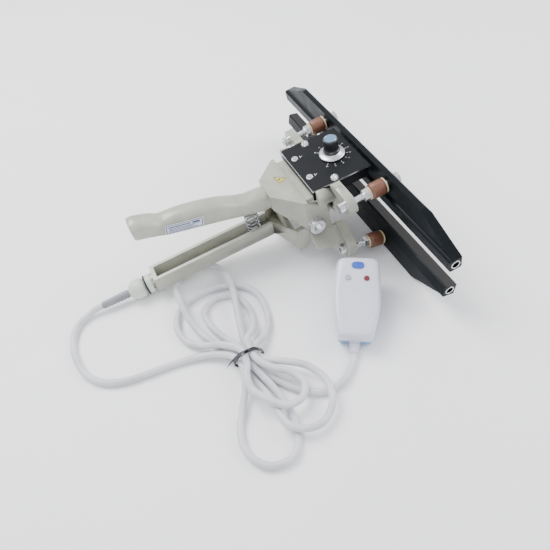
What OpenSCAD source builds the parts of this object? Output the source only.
// Hand-held crimp heat sealer: two long heated jaws worked by a pair of tong handles,
// a temperature control on top and a mains lead that ends in a safety plug.
// Tool frame: origin at the middle of the control panel's top face, +X along the jaws,
// +Y from the handles to the jaws, +Z out of the panel. The finished part stands on Z = 0.

/* [Jaws] */
// Length of both sealing jaws
jaw_l = 400; // [340:10:400]
// Width of a sealing face
jaw_w = 15.5; // [14:0.5:18]
// Height of a jaw from its sealing face to the top of its cover
jaw_h = 43.5; // [42:0.5:46]
// Height of the jaw bar at the jaw's ends
bar_h = 17; // [15:0.5:18]
// Length of the cover's full-height stretch
cover_flat = 282; // [240:2:300]
// Distance from the pivot to the rear edge of the sealing faces
reach = 83; // [83:1:86]
// Thickness of the sheet cover
sheet_t = 1.2; // [1:0.1:1.6]
// Angle of the upper jaw to the control panel
upper_angle = 4.1; // [4:0.1:4.4]
// Angle of the lower jaw to the control panel at rest
lower_angle = -13; // [-13.4:0.1:-13]

/* [Jaw mounting] */
// Distance between the two bolts of a jaw
bolt_span = 150; // [146:1:154]
// Height of the bolts from the sealing face
bolt_h = 31.6; // [31:0.1:32]
// Diameter of the bolts
bolt_d = 8; // [7:0.5:8]
// Diameter of the heat-insulating sleeves
sleeve_d = 19.6; // [18:0.2:20]
// Thickness of the ears that the bolts pass through
ear_t = 10.7; // [9:0.1:11]

/* [Control panel] */
// Width of the panel
panel_w = 90; // [84:1:90]
// Depth of the panel
panel_l = 79; // [76:1:79]
// Thickness of the panel
panel_t = 2; // [1.5:0.1:2.5]
// Height of the box under the panel
box_h = 9; // [8:0.5:9]
// Place of the knob forward of the panel's middle
knob_y = 10.7; // [8:0.1:12]
// Diameter of the knob's dial skirt
skirt_d = 32; // [30:1:34]

/* [Handles] */
// Half width of the upper grip
grip_half_w = 14.7; // [13:0.1:15]
// Half width of the lower handle
channel_half_w = 13; // [12:0.5:13]
// Wall of the lower handle
channel_wall = 4; // [3:0.5:4]
// Distance from the middle to the inside of a side plate
plate_in = 42.5; // [42.5:0.1:43]
// Distance from the middle to the outside of a side plate
plate_out = 48.5; // [48:0.1:49]

/* [Lead and plug] */
// Diameter of the mains lead
lead_d = 8; // [7:0.1:8]
// Length of the plug housing
plug_l = 100; // [96:1:104]
// Depth of the plug housing
plug_h = 28; // [26:1:30]
// Angle at which the plug leans on its pins
plug_tilt = 15; // [14:0.5:15]

/* [Hidden] */
$fn = 48;

// Colours of the real finishes
cream = [0.80, 0.79, 0.73];
jaw_black = [0.10, 0.11, 0.13];
bright = [0.80, 0.81, 0.83];
aluminium = [0.72, 0.73, 0.75];
copper_brown = [0.66, 0.42, 0.30];
white = [0.90, 0.90, 0.93];
eps = 0.01;

// Pivot of the tongs, and the tilt at which the tool rests on jaw and gland
pivot_y = -45;
pivot_z = -47;
rest_tilt = 5.3;
row_y = 128.85;
lowest = lower_angle + rest_tilt;
row_pivot_z = pivot_y * sin(rest_tilt) + pivot_z * cos(rest_tilt);
row_z = -(row_pivot_z + (reach + jaw_w) * sin(lowest) - jaw_h * cos(lowest));
pivot_bore_r = 6.05;
pivot_pin_r = 6;
bush_r = 8;

// Sealing gap left on each side when the jaws are shut, and the strip on the face
face_gap = 0.15;
strip_t = 0.3;

// Holes for the heater leads in the rear of the covers
lead_x = 28;
lead_h = 18.8;

// Places along a jaw bolt, measured from the pivot
head_h = 8;
head_r = 6.5;
ear_back = reach - 50.7;
ear_front = ear_back + ear_t;
ear_top = 44;
sleeve_back = reach - 17.3;
sleeve_front = reach + 1.2;
cover_front = reach + jaw_w;
bolt_end = reach + 22;
nut_af = 13;

// Side outlines, as [y, z] in the tool frame
grip_top = [[-79, -7], [-95, -3.6], [-111, -3], [-128, 4], [-143, 11.5], [-171, 19.6],
            [-195, 23.3], [-212, 23.8], [-222, 30], [-238, 36], [-247, 36]];
grip_bottom = [[-79, -30.2], [-95, -30.8], [-111, -26], [-128, -22], [-143, -18], [-171, -11],
               [-195, -4.7], [-212, 0.7], [-222, 4.4], [-238, 9.7], [-247, 12]];
shell_side = [[-84, -5], [-50, -9], [-47.5, -16], [-26, -25.3], [-22.7, -69.3], [-31, -74],
              [-54, -52], [-63, -47], [-84, -28]];
shell_plan = [[-plate_out, -20], [plate_out, -20], [plate_out, -53.5], [17, -84], [-17, -84],
              [-plate_out, -53.5]];
shell_void = [[-plate_in, -19], [plate_in, -19], [plate_in, -57], [14, -81], [-14, -81],
              [-plate_in, -57]];
channel_side = [[-253, -54], [-90, -51.5], [-68, -54.5], [-68, -90.7], [-86, -71],
                [-253, -75]];
channel_void_side = [[-248, -50], [-60, -46], [-60, -88], [-66, -87.5], [-85, -67.5],
                     [-248, -71.5]];
channel_plan = [[-channel_half_w, -254], [channel_half_w, -254], [channel_half_w, -89],
                [41.5, -68], [41.5, -60], [-41.5, -60], [-41.5, -68],
                [-channel_half_w, -89]];
channel_in = channel_half_w - channel_wall;
channel_void_plan = [[-channel_in, -248], [channel_in, -248], [channel_in, -90], [33.5, -71.5],
                     [-33.5, -71.5], [-channel_in, -90]];
cheek_side = [[-5, -19.5], [-20, -19.5], [-36, -31], [-49, -38], [-55, -46], [-55, -54],
              [-58, -56], [-69, -57], [-69, -90.7], [-60, -92], [-42, -66], [-29, -54], [-12, -37],
              [-5, -37]];
cheek_in = 34.5;
cheek_out = 41.5;

// Upper ears
ear_in = 46.5;
ear_wall_out = 54.5;
ear_wall = 8;

// Cable gland on the end of the lower handle
gland_z = -68.8;
gland_r = 12.8;
collar_back = -257;
seal_back = collar_back - 9;
gland_back = -288;
relief_l = 37;

// Return spring between the handles
spring_y = -110;
spring_low = -67.2;
spring_high = -26.9;
spring_r = 8.4;
spring_wire = 1.5;
spring_turns = 6;

// Plug: the middle of its cord end on the floor, and its heading
plug_at = [193, 61, 0];
plug_turn = 57.5;
boot_l = 12;
cord_h = 9;
pin_y = 74;
pin_l = 17.5;
plug_outline = [[0, 17], [6, 20.5], [30, 25.5], [44, 27], [60, 27], [84, 25.5], [94, 24.5],
                [98, 21], [99.5, 14]];

// Route of the lead, from the strain relief through the tied loops to the plug
tie_x = 160;
tie_y = -54;
route = [
  [2, -206, 6], [13, -224, 4.5], [36, -234, 4.5], [62, -234, 4.5], [87, -227, 4.5],
  [106, -211, 4.5], [116, -188, 4.5], [119, -162, 4.5], [121, -135, 4.5],
  [125, -108, 4.5], [135, -84, 8],
  [151, -68, 14], [169, -64, 15], [188, -70, 12], [208, -82, 6], [230, -94, 4.5],
  [254, -96, 4.5], [275, -82, 4.5], [278, -58, 4.5], [260, -43, 4.5], [236, -39, 4.5],
  [208, -42, 6], [186, -49, 11], [169, -54, 15],
  [151, -54, 15], [134, -60, 10], [114, -69, 5], [90, -77, 4.5], [68, -76, 4.5],
  [56, -58, 4.5], [61, -38, 4.5], [80, -27, 4.5], [104, -27, 5], [124, -35, 10],
  [137, -46, 17],
  [151, -49, 23], [169, -48, 22], [184, -37, 18], [196, -21, 14], [214, -13, 13],
  [229, -22, 13], [231, -41, 16], [216, -57, 19], [200, -66, 20], [184, -65, 22],
  [169, -59, 23],
  [151, -59, 23], [132, -74, 17], [115, -96, 8], [98, -110, 4.5], [75, -114, 4.5],
  [52, -102, 4.5], [41, -77, 4.5], [41, -49, 4.5], [51, -24, 4.5], [72, -9, 4.5],
  [97, -8, 4.5], [122, -14, 4.5], [138, -27, 8],
  [151, -44, 15], [169, -40, 15], [182, -22, 15], [198, -2, 14], [222, 9, 13],
  [246, 4, 12], [261, -14, 9], [260, -35, 12], [247, -49, 13], [222, -51, 9],
  [202, -54, 7], [184, -58, 6.5], [169, -59, 6.5],
  [151, -60, 6.5], [130, -73, 5], [104, -88, 6], [75, -97, 10], [47, -98, 13],
  [20, -97, 8], [-3, -84, 4.5], [-10, -60, 4.5], [7, -38, 5], [33, -32, 11],
  [60, -34, 14], [90, -41, 13], [118, -47, 10], [136, -50, 7],
  [151, -49, 6.5], [169, -49, 6.5], [186, -41, 5], [205, -29, 4.5], [221, -13, 4.5],
  [231, 6, 4.5], [229, 26, 4.5], [218, 42, 4.5]];

// ---- Frames ----

// Tool frame to the frame of the finished part
module tool() { translate([0, row_y, row_z]) rotate([rest_tilt, 0, 0]) children(); }

// Frame of the upper jaw: origin on the pivot, sealing face on z = 0, jaw above it
module upper_jaw_frame() {
  tool() translate([0, pivot_y, pivot_z]) rotate([upper_angle, 0, 0]) children();
}

// Frame of the lower jaw: the same, turned over
module lower_jaw_frame() {
  tool() translate([0, pivot_y, pivot_z]) rotate([lower_angle, 0, 0]) mirror([0, 0, 1])
    children();
}

// Frame of the plug: y runs from its cord end, z out of its face
module plug_frame() {
  translate(plug_at) rotate([0, 0, plug_turn]) rotate([plug_tilt, 0, 0]) children();
}

function tool_point(p) = [p[0],
  p[1] * cos(rest_tilt) - p[2] * sin(rest_tilt) + row_y,
  p[1] * sin(rest_tilt) + p[2] * cos(rest_tilt) + row_z];

function plug_point(p) =
  let (y = p[1] * cos(plug_tilt) - p[2] * sin(plug_tilt),
       z = p[1] * sin(plug_tilt) + p[2] * cos(plug_tilt))
  plug_at + [p[0] * cos(plug_turn) - y * sin(plug_turn),
             p[0] * sin(plug_turn) + y * cos(plug_turn), z];

// ---- Shared shapes ----

// Extrudes a side outline given as [y, z] between two places along X
module side_slab(outline, x0, x1) {
  translate([x0, 0, 0]) rotate([90, 0, 90]) linear_extrude(x1 - x0) polygon(outline);
}

// Extrudes a plan outline between two heights
module plan_slab(outline, z0, z1) {
  translate([0, 0, z0]) linear_extrude(z1 - z0) polygon(outline);
}

// Cylinder along +Y from y0 to y1
module rod_y(r, y0, y1, x = 0, z = 0) {
  translate([x, y0, z]) rotate([-90, 0, 0]) cylinder(r = r, h = y1 - y0);
}

// Cylinder along +X from x0 to x1
module rod_x(r, x0, x1, y = 0, z = 0) {
  translate([x0, y, z]) rotate([0, 90, 0]) cylinder(r = r, h = x1 - x0);
}

// Puts a copy on each side
module both_sides() {
  children();
  mirror([1, 0, 0]) children();
}

// Unit vector, and a tube swept along points with square-on rings
function unit(v) = v / norm(v);
function heading(p, i) = unit(p[min(i + 1, len(p) - 1)] - p[max(i - 1, 0)]);
function across(t) = unit(cross(t, abs(t[2]) > 0.9 ? [1, 0, 0] : [0, 0, 1]));

module tube(points, r, sides = 8) {
  n = len(points);
  rings = [for (i = [0:n - 1]) let (t = heading(points, i), u = across(t), v = cross(u, t))
           for (k = [0:sides - 1]) let (a = 360 * k / sides)
           points[i] + r * (cos(a) * u + sin(a) * v)];
  polyhedron(rings, ring_faces(n, sides));
}

// Faces over n rings of points, in triangles, with a flat face on each end
function ring_faces(n, sides) = concat([[for (k = [sides - 1:-1:0]) k]],
  [for (i = [0:n - 2]) for (k = [0:sides - 1]) let (m = (k + 1) % sides, j = i * sides)
   for (face = [[j + k, j + m, j + sides + m], [j + k, j + sides + m, j + sides + k]]) face],
  [[for (k = [0:sides - 1]) (n - 1) * sides + k]]);

// Smooth value through a list of stations, at fraction s of its length
function spline(p, s) =
  let (n = len(p) - 1, q = min(floor(s * n), n - 1), f = s * n - q,
       a = p[max(q - 1, 0)], b = p[q], c = p[q + 1], d = p[min(q + 2, n)])
  0.5 * (2 * b + (c - a) * f + (2 * a - 5 * b + 4 * c - d) * f * f
         + (3 * b - 3 * c + d - a) * f * f * f);

// ---- Jaws ----

function jaw_section(w) = [
  [reach + w + 1.5, face_gap + strip_t + w], [cover_front - w - 1.5, face_gap + strip_t + w],
  [cover_front - w, face_gap + strip_t + w + 1.5], [cover_front - w, jaw_h - 3.5 - w],
  [cover_front - 2.5 - w, jaw_h - w], [reach + 6.5 + w, jaw_h - w],
  [reach + 3.5 + w, bar_h + 1 - w], [reach + 1.5 + w, bar_h - w],
  [reach + w, bar_h - 1.5 - w], [reach + w, face_gap + strip_t + w + 1.5]];

function jaw_side(w) =
  let (half = jaw_l / 2 + (w > 0 ? 1 : 0), low = face_gap + strip_t + w)
  [[-half, low], [half, low], [half, bar_h - w], [cover_flat / 2 - w / 2, jaw_h - w],
   [-cover_flat / 2 + w / 2, jaw_h - w], [-half, bar_h - w]];

// Jaw form, drawn in by w all round, open at the ends when w is not 0
module jaw_form(w) {
  intersection() {
    side_slab(jaw_section(w), -jaw_l, jaw_l);
    translate([0, cover_front + 10, 0]) rotate([90, 0, 0]) linear_extrude(40)
      polygon(jaw_side(w));
  }
}

module jaw_cover() {
  color(jaw_black) difference() {
    jaw_form(0);
    jaw_form(sheet_t);
    both_sides() rod_y(bolt_d / 2 + 0.2, reach, cover_front + 5, bolt_span / 2, bolt_h);
    both_sides() rod_y(3.2, reach - 1, reach + 8, lead_x, lead_h);
  }
}

module heater_block() {
  gap = sheet_t + 0.1;
  color(aluminium) difference() {
    side_slab([[reach + gap + 1.5, face_gap + strip_t + gap],
               [cover_front - gap - 1.5, face_gap + strip_t + gap],
               [cover_front - gap, face_gap + strip_t + gap + 1.5],
               [cover_front - gap, bar_h - gap - 2], [cover_front - gap - 2, bar_h - gap],
               [reach + gap + 2, bar_h - gap], [reach + gap, bar_h - gap - 2],
               [reach + gap, face_gap + strip_t + gap + 1.5]], -jaw_l / 2, jaw_l / 2);
    rod_x(4.3, -jaw_l, jaw_l, reach + jaw_w / 2, bar_h / 2);
  }
}

module heater_rod() {
  color("dimgray") rod_x(4.1, -jaw_l / 2 + 15, jaw_l / 2 - 15, reach + jaw_w / 2, bar_h / 2);
}

module seal_strip() {
  color([0.16, 0.13, 0.10])
    translate([-jaw_l / 2, reach + 1.5, face_gap]) cube([jaw_l, jaw_w - 3, strip_t - eps]);
}

module bolt_sleeves() {
  color(copper_brown) both_sides() difference() {
    translate([bolt_span / 2, sleeve_back, bolt_h]) rotate([-90, 0, 0]) rotate_extrude()
      polygon([[0, 0], [sleeve_d / 2 - 2, 0], [sleeve_d / 2, 2],
               [sleeve_d / 2, sleeve_front - sleeve_back - 2],
               [sleeve_d / 2 - 1.5, sleeve_front - sleeve_back],
               [0, sleeve_front - sleeve_back]]);
    rod_y(bolt_d / 2 + 0.1, sleeve_back - 1, sleeve_front + 1, bolt_span / 2, bolt_h);
  }
}

module jaw_bolts() {
  color(bright) both_sides() difference() {
    union() {
      rod_y(bolt_d / 2, ear_back - eps, bolt_end, bolt_span / 2, bolt_h);
      rod_y(head_r, ear_back - head_h, ear_back, bolt_span / 2, bolt_h);
    }
    translate([bolt_span / 2, ear_back - head_h - 1, bolt_h]) rotate([-90, 0, 0])
      cylinder(r = 3.4, h = 5, $fn = 6);
  }
}

module hex_nut_y(y0, h) {
  difference() {
    translate([bolt_span / 2, y0, bolt_h]) rotate([-90, 0, 0])
      cylinder(d = nut_af / cos(30), h = h, $fn = 6);
    rod_y(bolt_d / 2 + 0.05, y0 - 1, y0 + h + 1, bolt_span / 2, bolt_h);
  }
}

module jaw_nuts() {
  color(bright) both_sides() {
    hex_nut_y(sleeve_back - 8.4, 6.5);
    hex_nut_y(cover_front + 1.8, 4);
  }
}

module washer_y(r, y0, h) {
  difference() {
    rod_y(r, y0, y0 + h, bolt_span / 2, bolt_h);
    rod_y(bolt_d / 2 + 0.1, y0 - 1, y0 + h + 1, bolt_span / 2, bolt_h);
  }
}

module jaw_washers() {
  color([0.82, 0.76, 0.55]) both_sides() {
    washer_y(8, sleeve_back - 1.8, 1.6);
    washer_y(sleeve_d / 2 - 0.6, sleeve_front + 0.1, 1.6);
    washer_y(8, cover_front + 0.1, 1.5);
  }
}

module heater_lead(points) { color([0.16, 0.15, 0.14]) tube(points, 2.4); }

// ---- Lower casting: channel handle, cheeks, crossbeam and the upper ears ----

module upper_ear() {
  translate([0, pivot_y, pivot_z]) rotate([upper_angle, 0, 0]) {
    rod_y(ear_top - bolt_h, ear_back, ear_front, bolt_span / 2, bolt_h);
    translate([0, ear_front, 0]) rotate([90, 0, 0]) linear_extrude(ear_t)
      polygon([[ear_in, ear_top], [bolt_span / 2, ear_top], [bolt_span / 2, 19.5],
               [64, 17], [ear_wall_out, 11], [ear_in, 11]]);
  }
  difference() {
    translate([ear_in, -37, -18.4]) cube([ear_wall, 30, 18.4]);
    // the rear outer corner of the wall is cut off on a slant
    translate([ear_in, -37.5, 4]) rotate([0, 0, 21]) rotate([0, 50, 0])
      translate([-30, -40, 0]) cube([60, 58, 20]);
  }
}

module lower_casting() {
  color(cream) tool() difference() {
    union() {
      difference() {
        intersection() {
          side_slab(channel_side, -50, 50);
          plan_slab(channel_plan, -100, -40);
        }
        intersection() {
          side_slab(channel_void_side, -50, 50);
          plan_slab(channel_void_plan, -100, -40);
        }
      }
      both_sides() side_slab(cheek_side, cheek_in, cheek_out);
      both_sides() rod_x(11, cheek_in, cheek_out, pivot_y, pivot_z);
      translate([-ear_wall_out, -20, -37]) cube([2 * ear_wall_out, 15, 17.5]);
      both_sides() upper_ear();
      rod_y(gland_r - 0.8, collar_back, -252, 0, gland_z);
      translate([0, spring_y, -70]) cylinder(r = spring_r - 2.4, h = 8);
    }
    both_sides() rod_x(bush_r, cheek_in - 1, cheek_out + 1, pivot_y, pivot_z);
    rod_y(5, collar_back - 1, -247, 0, -65);
    translate([0, pivot_y, pivot_z]) rotate([upper_angle, 0, 0]) both_sides()
      rod_y(bolt_d / 2 + 0.2, ear_back - 1, ear_front + 1, bolt_span / 2, bolt_h);
  }
}

module pivot_bushes() {
  color("darkgoldenrod") tool() both_sides() difference() {
    rod_x(bush_r, cheek_in, cheek_out, pivot_y, pivot_z);
    rod_x(pivot_bore_r, cheek_in - 1, cheek_out + 1, pivot_y, pivot_z);
  }
}

module return_spring() {
  steps = spring_turns * 12;
  rise = spring_high - spring_low - 2 * spring_wire;
  color("silver") tool() tube([for (i = [0:steps]) let (a = 360 * i / 12)
    [spring_r * cos(a), spring_y + spring_r * sin(a),
     spring_low + spring_wire + rise * i / steps]], spring_wire / 2, 6);
}

// ---- Cable gland and strain relief ----

module gland_body() {
  color([0.72, 0.75, 0.70]) tool() difference() {
    rod_y(gland_r - 0.8, seal_back + 2, collar_back, 0, gland_z);
    rod_y(5.6, seal_back, collar_back + 1, 0, gland_z);
  }
}

module gland_seal() {
  color([0.08, 0.08, 0.08]) tool() difference() {
    rod_y(gland_r, seal_back, seal_back + 2, 0, gland_z);
    rod_y(5.6, seal_back - 1, seal_back + 3, 0, gland_z);
  }
}

module gland_dome() {
  len_y = seal_back - gland_back;
  color([0.76, 0.78, 0.73]) tool() translate([0, gland_back, gland_z]) rotate([-90, 0, 0])
    rotate_extrude() difference() {
      intersection() {
        square([gland_r, len_y]);
        translate([0, gland_r - 1]) circle(r = gland_r + 0.6);
        translate([0, 6]) scale(1.5) circle(r = gland_r);
      }
      translate([-1, -1]) square([6.6, len_y + 2]);
    }
}

module strain_relief() {
  ribs = 8;
  pitch = (relief_l - 3) / ribs;
  color([0.55, 0.56, 0.57]) tool() translate([0, gland_back, gland_z]) rotate([90, 0, 0])
    difference() {
      union() {
        translate([0, 0, -6]) cylinder(r = 5, h = 8);
        cylinder(r1 = 4.8, r2 = 4.2, h = relief_l);
        for (i = [0:ribs - 1]) translate([0, 0, 3 + i * pitch])
          cylinder(r = 5.6 - 0.12 * i, h = pitch * 0.55);
      }
      translate([0, 0, -7]) cylinder(r = 3.2, h = 14);
    }
}

// ---- Mains lead ----

lead_start = [tool_point([0, gland_back - relief_l - 0.4, gland_z]),
              tool_point([0, gland_back - relief_l - 6, gland_z])];
lead_end = [plug_point([0, -boot_l - 6, cord_h]), plug_point([0, -boot_l - 0.4, cord_h])];

module mains_lead() {
  color([0.88, 0.88, 0.88]) tube(concat(lead_start, route, lead_end), lead_d / 2);
}

// Flat band drawn round the outline of the strands at the middle of the bundle
module lead_tie() {
  strands = [[-5.5, 6.5], [5, 6.5], [12, 15], [5.5, 22.5], [-5, 23], [-12, 14.5]];
  color([0.06, 0.06, 0.07]) translate([tie_x - 2.2, tie_y, 0]) rotate([90, 0, 90])
    difference() {
      linear_extrude(4.4) hull() for (p = strands) translate(p) circle(r = 6.1, $fn = 24);
      translate([0, 0, -1]) linear_extrude(7) hull() for (p = strands)
        translate(p) circle(r = 4.9, $fn = 24);
    }
}

// ---- Plug ----

function plug_edge(w) = concat([for (p = plug_outline) [p[1] - w, p[0] + (p[0] < 20 ? w : -w)]],
  [for (i = [len(plug_outline) - 1:-1:0]) let (p = plug_outline[i])
   [w - p[1], p[0] + (p[0] < 20 ? w : -w)]]);

module plug_base() {
  color([0.62, 0.72, 0.82]) plug_frame() difference() {
    plan_slab(plug_edge(0.6), 0, 13);
    plan_slab(plug_edge(2.6), 2, 14);
    for (x = [-9, 9]) translate([x - 3.4, pin_y - 8, -1]) cube([6.8, 2.2, 5]);
    translate([-1.1, pin_y + 6, -1]) cube([2.2, 6.8, 5]);
    rod_y(lead_d / 2 + 0.6, -1, 4, 0, cord_h);
    both_sides() for (y = [12, 88]) translate([16, y, -1]) cylinder(r = 2, h = 4);
  }
}

module plug_cover() {
  color(white) plug_frame() difference() {
    union() {
      plan_slab(plug_edge(0), 13.2, 22);
      hull() {
        plan_slab(plug_edge(0), 21.9, 22);
        plan_slab(plug_edge(3.5), plug_h - 0.1, plug_h);
      }
    }
    plan_slab(plug_edge(2.2), 13, 21.5);
    plan_slab(plug_edge(6), 21, plug_h - 2.2);
    translate([-7.5, 82, 20]) cube([15, 9, 12]);
    for (x = [-10.5, 10.5]) translate([x, 70.5, 20]) cylinder(r = 3.4, h = 12);
    rod_y(lead_d / 2 + 0.6, -1, 4, 0, cord_h);
  }
}

module plug_pins() {
  color([0.80, 0.74, 0.55]) plug_frame() {
    for (x = [-9, 9]) translate([x - 3.2, pin_y - 7.8, -pin_l]) cube([6.4, 1.8, pin_l + 6]);
    translate([-0.9, pin_y + 6.2, -pin_l]) cube([1.8, 6.4, pin_l + 6]);
  }
}

module plug_screws() {
  color("silver") plug_frame() both_sides() for (y = [12, 88]) translate([16, y, 0.3]) {
    cylinder(r = 1.9, h = 1.6);
    cylinder(r = 1.2, h = 12);
  }
}

module plug_circuit_board() {
  color([0.12, 0.42, 0.22]) plug_frame() translate([-14, 12, 15]) cube([28, 74, 1.4]);
}

module plug_fault_coil() {
  color([0.75, 0.45, 0.15]) plug_frame() translate([0, 42, 4]) difference() {
    cylinder(r = 10, h = 10);
    translate([0, 0, -1]) cylinder(r = 4.5, h = 12);
  }
}

module plug_lead_boot() {
  color(white) plug_frame() difference() {
    union() {
      rod_y(lead_d / 2 + 0.5, -0.2, 6, 0, cord_h);
      translate([0, -boot_l, cord_h]) rotate([-90, 0, 0])
        cylinder(r1 = 4.6, r2 = 6, h = boot_l - 0.3);
    }
    rod_y(2.8, -boot_l + 1, 7, 0, cord_h);
  }
}

module plug_lamp_lens() {
  color([0.45, 0.08, 0.10]) plug_frame() translate([10.5, 70.5, 20])
    cylinder(r = 3.35, h = plug_h - 20 + 0.4);
}

module plug_test_button() {
  color([0.62, 0.62, 0.66]) plug_frame() translate([-10.5, 70.5, 20])
    cylinder(r = 3.1, h = plug_h - 20 + 1.4);
}

module plug_reset_button() {
  color([0.10, 0.25, 0.60]) plug_frame() translate([0, 86.5, 20]) {
    for (x = [-3, 3]) translate([x, 0, 0]) cylinder(r = 4.1, h = plug_h - 20 + 1.6);
    translate([-3, -4.1, 0]) cube([6, 8.2, plug_h - 20 + 1.6]);
  }
}

// ---- Upper casting: grip, hollow head, side plates and the lower ears ----

// Grip: rounded rings between the top and bottom outlines
module grip() {
  rings = 30;
  sides = 24;
  ring = [for (i = [0:rings]) let (s = i / rings, t = spline(grip_top, s),
          b = spline(grip_bottom, s), m = (t + b) / 2, h = (t - b) / 2,
          shrink = s > 0.97 ? 0.93 : 1)
          for (k = [0:sides - 1]) let (a = -360 * k / sides, c = cos(a), q = sin(a),
          cx = sign(c) * pow(abs(c), 0.8), qz = sign(q) * pow(abs(q), 0.8))
          [grip_half_w * shrink * cx, m[0] + h[0] * qz * shrink, m[1] + h[1] * qz * shrink]];
  polyhedron(ring, ring_faces(rings + 1, sides));
}

// Web and flange that carry one lower jaw bolt, drawn in the lower jaw's own frame
module lower_ear() {
  root_in = plate_in + 1.1;
  root_out = plate_out - 1.7;
  // flange
  rod_y(ear_top - bolt_h - 1, ear_back, ear_front, bolt_span / 2, bolt_h);
  translate([0, ear_front, 0]) rotate([90, 0, 0]) linear_extrude(ear_t)
    polygon([[root_in, 12.5], [root_out, 13.5], [bolt_span / 2 + 9, 23],
             [bolt_span / 2, 42.5], [root_in, 39.5]]);
  // sloping web behind the flange
  difference() {
    translate([0, ear_back + 1, 0]) rotate([90, 0, 0]) linear_extrude(ear_back + 5)
      polygon([[root_in, 14.2], [root_out, 14.2], [bolt_span / 2 + 3, 27.5],
               [bolt_span / 2 + 3, 33.5], [root_out, 21.6], [root_in, 21.6]]);
    rod_y(head_r + 1.2, -12, ear_back, bolt_span / 2, bolt_h);
  }
}

module upper_casting() {
  color(cream) tool() difference() {
    union() {
      difference() {
        intersection() {
          side_slab(shell_side, -60, 60);
          plan_slab(shell_plan, -90, 5);
        }
        difference() {
          plan_slab(shell_void, -90, 0);
          side_slab([[-90, -8.8], [-50, -13.5], [-50, 10], [-90, 10]], -60, 60);
        }
      }
      grip();
      // deck under the control box
      translate([-41.6, -54, -16]) cube([83.2, 86, 4.8]);
      both_sides() translate([0, pivot_y, pivot_z]) rotate([lower_angle, 0, 0])
        mirror([0, 0, 1]) lower_ear();
      translate([0, spring_y, -33]) cylinder(r = spring_r - 2.4, h = 12);
    }
    both_sides() rod_x(pivot_pin_r + 0.2, 40, 60, pivot_y, pivot_z);
    translate([0, pivot_y, pivot_z]) rotate([lower_angle, 0, 0]) mirror([0, 0, 1])
      both_sides() rod_y(bolt_d / 2 + 0.2, ear_back - 1, ear_front + 1, bolt_span / 2, bolt_h);
    translate([0, knob_y, -20]) cylinder(r = 15.4, h = 10);
    both_sides() translate([39, -7.3, -20]) cylinder(r = 2.1, h = 10);
  }
}

module pivot_bolt() {
  color(bright) tool() difference() {
    union() {
      rod_x(pivot_pin_r, -58, plate_out + 2, pivot_y, pivot_z);
      rod_x(10, plate_out + 1.6, plate_out + 9, pivot_y, pivot_z);
    }
    translate([plate_out + 4.5, pivot_y, pivot_z]) rotate([0, 90, 0])
      cylinder(r = 5.8, h = 6, $fn = 6);
  }
}

module pivot_nut() {
  color(bright) tool() difference() {
    translate([-plate_out - 9, pivot_y, pivot_z]) rotate([0, 90, 0])
      cylinder(d = 19 / cos(30), h = 7.4, $fn = 6);
    rod_x(pivot_pin_r + 0.05, -60, -40, pivot_y, pivot_z);
  }
}

module pivot_washers() {
  color("silver") tool() both_sides() for (x = [cheek_out + 0.1, plate_out + 0.1])
    difference() {
      rod_x(10.4, x, x + (x < plate_out ? 0.8 : 1.4), pivot_y, pivot_z);
      rod_x(pivot_pin_r + 0.2, x - 1, x + 3, pivot_y, pivot_z);
    }
}

// ---- Controls ----

module control_box() {
  half = panel_w / 2 - 1.5;
  color(jaw_black) tool() difference() {
    union() {
      translate([-half, -panel_l / 2 + 0.5, -panel_t - box_h])
        cube([2 * half, panel_l - 4, box_h]);
      translate([0, knob_y, -18.8]) cylinder(r = 15, h = 10);
      // skirt that hides the deck at the front and sides
      difference() {
        translate([-half, -panel_l / 2 + 0.5, -16.8]) cube([2 * half, panel_l - 4, 6.3]);
        translate([-half + 1.4, -panel_l / 2 - 1, -18]) cube([2 * half - 2.8, panel_l - 4, 8]);
      }
    }
    translate([-half + 1.6, -panel_l / 2 + 2.1, -panel_t - box_h + 1.6])
      cube([2 * half - 3.2, panel_l - 7.2, box_h]);
    translate([0, knob_y, -17.2]) cylinder(r = 13.4, h = 16);
    both_sides() translate([39, -7.3, -20]) cylinder(r = 2.1, h = 20);
  }
}

module control_panel() {
  color([0.12, 0.13, 0.15]) tool() difference() {
    translate([-panel_w / 2, -panel_l / 2, -panel_t])
      cube([panel_w, panel_l - 1.5, panel_t]);
    translate([0, knob_y, -5]) cylinder(r = 4.7, h = 10);
    both_sides() translate([39, -7.3, -5]) cylinder(r = 2.1, h = 10);
    both_sides() translate([20.3, -31, -5]) cylinder(r = 3.1, h = 10);
  }
}

module panel_screws() {
  color(bright) tool() both_sides() translate([39, -7.3, 0]) difference() {
    union() {
      translate([0, 0, 0.1]) cylinder(r1 = 5.2, r2 = 4, h = 2.4);
      translate([0, 0, -15]) cylinder(r = 2, h = 15.2);
    }
    translate([-6, -0.6, 1.5]) cube([12, 1.2, 2]);
  }
}

module lamp_bezels() {
  color("silver") tool() both_sides() translate([20.3, -31, 0]) difference() {
    union() {
      translate([0, 0, 0.1]) cylinder(r1 = 4.6, r2 = 4, h = 1.4);
      translate([0, 0, -7.1]) cylinder(r = 3, h = 8);
    }
    translate([0, 0, -9]) cylinder(r = 2.4, h = 12);
  }
}

module lamp_lenses() {
  color([0.85, 0.85, 0.80]) tool() both_sides() translate([20.3, -31, -7])
    rotate_extrude() polygon([[0, 0], [2.3, 0], [2.3, 8.2], [1.8, 9.3], [0.9, 9.9], [0, 10]]);
}

module control_board() {
  color([0.12, 0.42, 0.22]) tool() translate([-33, -37, -8.8]) cube([66, 26, 1.4]);
}

module regulator_body() {
  color([0.30, 0.30, 0.32]) tool() translate([0, knob_y, 0]) difference() {
    union() {
      translate([0, 0, -16.8]) cylinder(r = 12, h = 12.6);
      translate([0, 0, -5]) cylinder(r = 4.6, h = 9);
    }
    translate([0, 0, -12]) cylinder(r = 3.05, h = 20);
  }
}

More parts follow.
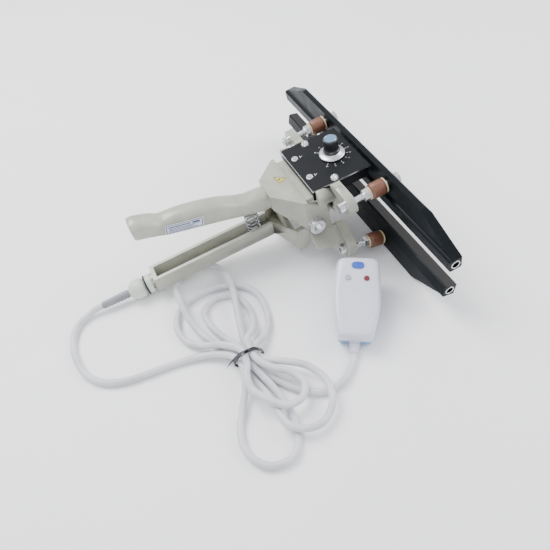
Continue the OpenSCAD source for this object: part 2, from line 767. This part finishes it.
module regulator_nut() {
  color("silver") tool() translate([0, knob_y, 0.1]) difference() {
    cylinder(d = 12.5, h = 2.4, $fn = 6);
    translate([0, 0, -1]) cylinder(r = 4.65, h = 5);
  }
}

// ---- Knob ----

module knob_frame() { tool() translate([0, knob_y, 0]) children(); }

module knob_shaft() {
  color("silver") knob_frame() translate([0, 0, -11]) cylinder(r = 3, h = 31);
}

module knob_skirt() {
  r = skirt_d / 2;
  color(bright) knob_frame() rotate_extrude() polygon([[7, 0.8], [r - 0.4, 0.8], [r, 1.4],
    [r, 2.4], [r - 1.2, 3.4], [10.8, 6], [7, 6]]);
}

module knob_body() {
  color([0.07, 0.07, 0.08]) knob_frame() difference() {
    rotate_extrude() polygon([[0, 4.6], [6.9, 4.6], [6.9, 6.1], [10.4, 6.1], [10.4, 8],
      [9, 9], [8.6, 23.6], [8.1, 24.2], [0, 24.2]]);
    translate([0, 0, 4]) cylinder(r = 3.05, h = 17);
    translate([0, 0, 23.4]) cylinder(r = 7.55, h = 2);
    rotate([90, 0, 0]) translate([0, 11, 3]) cylinder(r = 1.6, h = 10);
  }
}

module knob_cap() {
  color([0.45, 0.62, 0.80]) knob_frame() translate([0, 0, 23.4]) cylinder(r = 7.5, h = 1.2);
}

module knob_grub_screw() {
  color("silver") knob_frame() rotate([90, 0, 0]) translate([0, 11, 3.1])
    cylinder(r = 1.5, h = 4.6);
}

// ---- Plates on the castings ----

module grip_plate() {
  color([0.80, 0.82, 0.86]) tool() translate([grip_half_w + 0.05, -190, 8.6])
    rotate([-13, 0, 0]) translate([0, -23, -6.5]) cube([0.5, 46, 13]);
}

module caution_plate() {
  color([0.80, 0.74, 0.22]) tool() translate([-7, -60, -7.7]) rotate([-6.7, 0, 0])
    linear_extrude(0.4) polygon([[-8.7, -5.8], [7.1, -3.5], [2.2, 8.8]]);
}

// ---- Heater lead routes, each inside one half of the tongs ----

upper_lead_route = [[lead_x, -4.5, -28], [lead_x, 4, -27], [lead_x, 14, -25.5],
                    [lead_x, 24, -24], [lead_x, 32, -23], [lead_x, 41, -22]];
lower_lead_route = [[-lead_x, 8, -16.5], [-lead_x, 9, -24], [-lead_x, 10, -36],
                    [-lead_x, 10, -50], [-lead_x, 11, -62], [-lead_x, 14, -74],
                    [-lead_x, 24, -82], [-lead_x, 36.5, -85]];

lower_casting();
pivot_bushes();
return_spring();
upper_jaw_frame() jaw_cover();  // upper_jaw_cover
upper_jaw_frame() heater_block();  // upper_heater_block
upper_jaw_frame() heater_rod();  // upper_heater_rod
upper_jaw_frame() seal_strip();  // upper_seal_strip
upper_jaw_frame() bolt_sleeves();  // upper_bolt_sleeves
upper_jaw_frame() jaw_bolts();  // upper_jaw_bolts
upper_jaw_frame() jaw_nuts();  // upper_jaw_nuts
upper_jaw_frame() jaw_washers();  // upper_jaw_washers
tool() heater_lead(upper_lead_route);  // upper_heater_lead
gland_body();
gland_seal();
gland_dome();
strain_relief();
mains_lead();
lead_tie();
plug_base();
plug_cover();
plug_pins();
plug_screws();
plug_circuit_board();
plug_fault_coil();
plug_lead_boot();
plug_lamp_lens();
plug_reset_button();
plug_test_button();
upper_casting();
pivot_bolt();
pivot_nut();
pivot_washers();
control_box();
control_panel();
panel_screws();
lamp_bezels();
lamp_lenses();
control_board();
regulator_body();
regulator_nut();
lower_jaw_frame() jaw_cover();  // lower_jaw_cover
lower_jaw_frame() heater_block();  // lower_heater_block
lower_jaw_frame() heater_rod();  // lower_heater_rod
lower_jaw_frame() seal_strip();  // lower_seal_strip
lower_jaw_frame() bolt_sleeves();  // lower_bolt_sleeves
lower_jaw_frame() jaw_bolts();  // lower_jaw_bolts
lower_jaw_frame() jaw_nuts();  // lower_jaw_nuts
lower_jaw_frame() jaw_washers();  // lower_jaw_washers
tool() heater_lead(lower_lead_route);  // lower_heater_lead
grip_plate();
caution_plate();
knob_shaft();
knob_skirt();
knob_body();
knob_cap();
knob_grub_screw();
